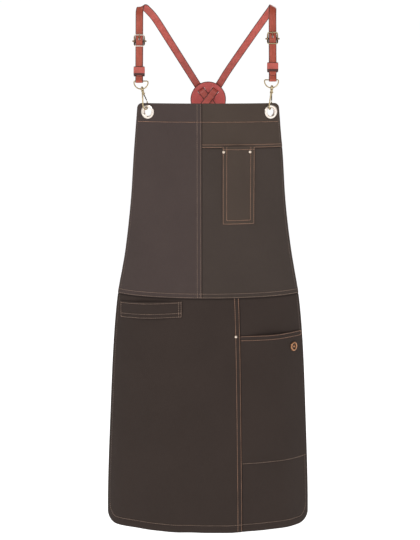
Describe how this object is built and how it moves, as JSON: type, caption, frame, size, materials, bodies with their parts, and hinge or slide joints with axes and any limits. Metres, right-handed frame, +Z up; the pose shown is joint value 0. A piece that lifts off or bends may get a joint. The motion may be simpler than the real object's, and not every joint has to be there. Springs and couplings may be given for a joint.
{
  "type": "butcher apron",
  "caption": "Canvas bib apron with pockets and a towel loop, hung on leather cross-back straps with buckles, keepers and swivel snap hooks.",
  "frame": {"origin": "midway between the tops of the two shoulder straps, where the apron hangs from the wearer's shoulders", "axes": "+Z up; the front of the apron faces -Y; +X is the side with the pockets, on the right as seen from the front"},
  "size_m": [0.4164, 0.2122, 1.0595],
  "materials": {
    "bib_canvas": "heavy washed canvas, taupe brown",
    "skirt_canvas": "heavy washed canvas, darker brown",
    "leather": "terracotta leather with dark burnished edges",
    "brass": "pale polished brass",
    "dark_brass": "aged dark brass with bright wear",
    "copper": "copper",
    "badge_dark": "dark enamelled metal"
  },
  "bodies": {
    "apron": {"bib_left_panel": "bib_canvas", "bib_right_panel": "bib_canvas", "bib_yoke": "bib_canvas", "bib_facing": "bib_canvas", "chest_pocket": "bib_canvas", "skirt_left_panel": "skirt_canvas", "skirt_right_panel": "skirt_canvas", "side_pocket": "skirt_canvas", "towel_loop": "skirt_canvas", "waist_tab_left": "skirt_canvas", "waist_tab_right": "skirt_canvas", "strap_left": "leather", "strap_right": "leather", "chape_left": "leather", "chape_right": "leather", "cross_disc": "leather", "eyelet_left": "brass", "eyelet_right": "brass", "eyelet_washer_left": "brass", "eyelet_washer_right": "brass", "chest_rivet_left": "brass", "chest_rivet_right": "brass", "side_pocket_rivet": "brass", "strap_rivet_left": "brass", "strap_rivet_right": "brass", "buckle_frame_left": "dark_brass", "buckle_frame_right": "dark_brass", "buckle_bar_left": "dark_brass", "buckle_bar_right": "dark_brass", "badge_ring": "copper", "badge_center": "badge_dark"},
    "prong_left": {"buckle_prong_left": "brass"},
    "keeper_left": {"keeper_left": "leather"},
    "eye_left": {"strap_eye_left": "brass"},
    "hook_left": {"snap_hook_left": "brass", "gate_pin_left": "brass"},
    "gate_left": {"hook_gate_left": "brass"},
    "ring_left": {"waist_ring_left": "brass"},
    "prong_right": {"buckle_prong_right": "brass"},
    "keeper_right": {"keeper_right": "leather"},
    "eye_right": {"strap_eye_right": "brass"},
    "hook_right": {"snap_hook_right": "brass", "gate_pin_right": "brass"},
    "gate_right": {"hook_gate_right": "brass"},
    "ring_right": {"waist_ring_right": "brass"}
  },
  "joints": [
    {"name": "prong_hinge_left", "type": "hinge", "parent": "apron", "child": "prong_left", "pos_m": [-0.1348, 0.04061, -0.07228], "axis": [1, 0, 0], "range_deg": [0, 18]},
    {"name": "keeper_slide_left", "type": "slide", "parent": "apron", "child": "keeper_left", "axis": [0, 0.2521, 0.9677], "range_m": [-0.004, 0.038]},
    {"name": "eye_tilt_left", "type": "hinge", "parent": "apron", "child": "eye_left", "pos_m": [-0.1348, 0.0205, -0.1495], "axis": [1, 0, 0], "range_deg": [-0.75, 1.5]},
    {"name": "hook_swivel_left", "type": "hinge", "parent": "eye_left", "child": "hook_left", "pos_m": [-0.1288, 0.0205, -0.165], "axis": [-0.1808, -0.0626, 0.9815], "range_deg": [-5, 3]},
    {"name": "gate_hinge_left", "type": "hinge", "parent": "hook_left", "child": "gate_left", "pos_m": [-0.12674, 0.02213, -0.17338], "axis": [-0.8976, 0.4185, -0.1387], "range_deg": [0, 25], "stiffness_Nm_per_rad": 0.01},
    {"name": "ring_hinge_left", "type": "hinge", "parent": "apron", "child": "ring_left", "pos_m": [-0.16401, 0.06079, -0.56], "axis": [0.694, -0.72, 0], "range_deg": [-3, 3]},
    {"name": "prong_hinge_right", "type": "hinge", "parent": "apron", "child": "prong_right", "pos_m": [0.1263, 0.04117, -0.06765], "axis": [1, 0, 0], "range_deg": [0, 18]},
    {"name": "keeper_slide_right", "type": "slide", "parent": "apron", "child": "keeper_right", "axis": [0, 0.2521, 0.9677], "range_m": [-0.009, 0.033]},
    {"name": "eye_tilt_right", "type": "hinge", "parent": "apron", "child": "eye_right", "pos_m": [0.1263, 0.0205, -0.147], "axis": [1, 0, 0], "range_deg": [0, 1]},
    {"name": "hook_swivel_right", "type": "hinge", "parent": "eye_right", "child": "hook_right", "pos_m": [0.1247, 0.0205, -0.1625], "axis": [0.0811, -0.0574, 0.9951], "range_deg": [0, 5]},
    {"name": "gate_hinge_right", "type": "hinge", "parent": "hook_right", "child": "gate_right", "pos_m": [0.12429, 0.02216, -0.17111], "axis": [-0.9661, 0.2409, 0.0926], "range_deg": [0, 25], "stiffness_Nm_per_rad": 0.01},
    {"name": "ring_hinge_right", "type": "hinge", "parent": "apron", "child": "ring_right", "pos_m": [0.16401, 0.06079, -0.56], "axis": [0.694, 0.72, 0], "range_deg": [-3, 3]}
  ]
}
